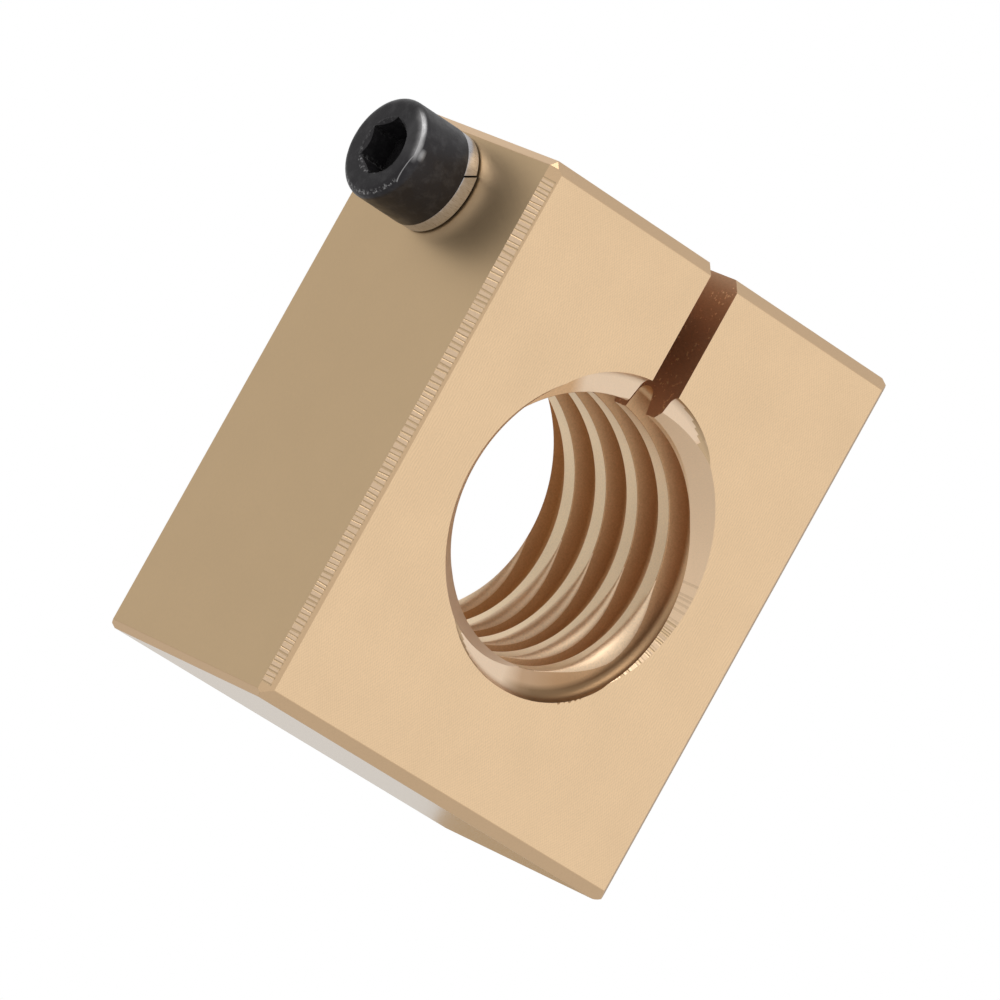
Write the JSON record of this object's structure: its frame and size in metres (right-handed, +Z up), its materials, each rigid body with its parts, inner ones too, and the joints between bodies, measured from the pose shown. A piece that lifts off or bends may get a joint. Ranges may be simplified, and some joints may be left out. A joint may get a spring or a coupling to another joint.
{
  "type": "lead screw nut",
  "caption": "Split block nut for a coarse left-hand lead screw, closed by a socket head cap screw and spring washer across the slit.",
  "frame": {"origin": "middle of the block's bottom face, below the bore's axis", "axes": "+X across the slit, away from the clamp screw's head; +Y along the lead screw, from the front face to the back; +Z up, towards the slit's mouth"},
  "size_m": [0.0534, 0.0256, 0.0544],
  "materials": {
    "bronze": "machined bearing bronze, satin, with fine tool marks",
    "black_oxide": "black oxide on alloy steel, lightly worn",
    "spring_steel": "bare spring steel, satin"
  },
  "bodies": {
    "nut": {"nut_body": "bronze"},
    "washer": {"lock_washer": "spring_steel"},
    "screw": {"clamp_screw": "black_oxide"}
  },
  "joints": [
    {"name": "screw_travel", "type": "slide", "parent": "nut", "child": "washer", "axis": [-1, 0, 0], "range_m": [0, 0.013]},
    {"name": "screw_turn", "type": "hinge", "parent": "washer", "child": "screw", "pos_m": [-0.0245, 0.0012, 0.0485], "axis": [-1, 0, 0], "range_deg": [0, 4680]}
  ],
  "couplings": [
    {"joint": "screw_turn", "follows": "screw_travel", "rad_per_m": 6283.2}
  ]
}
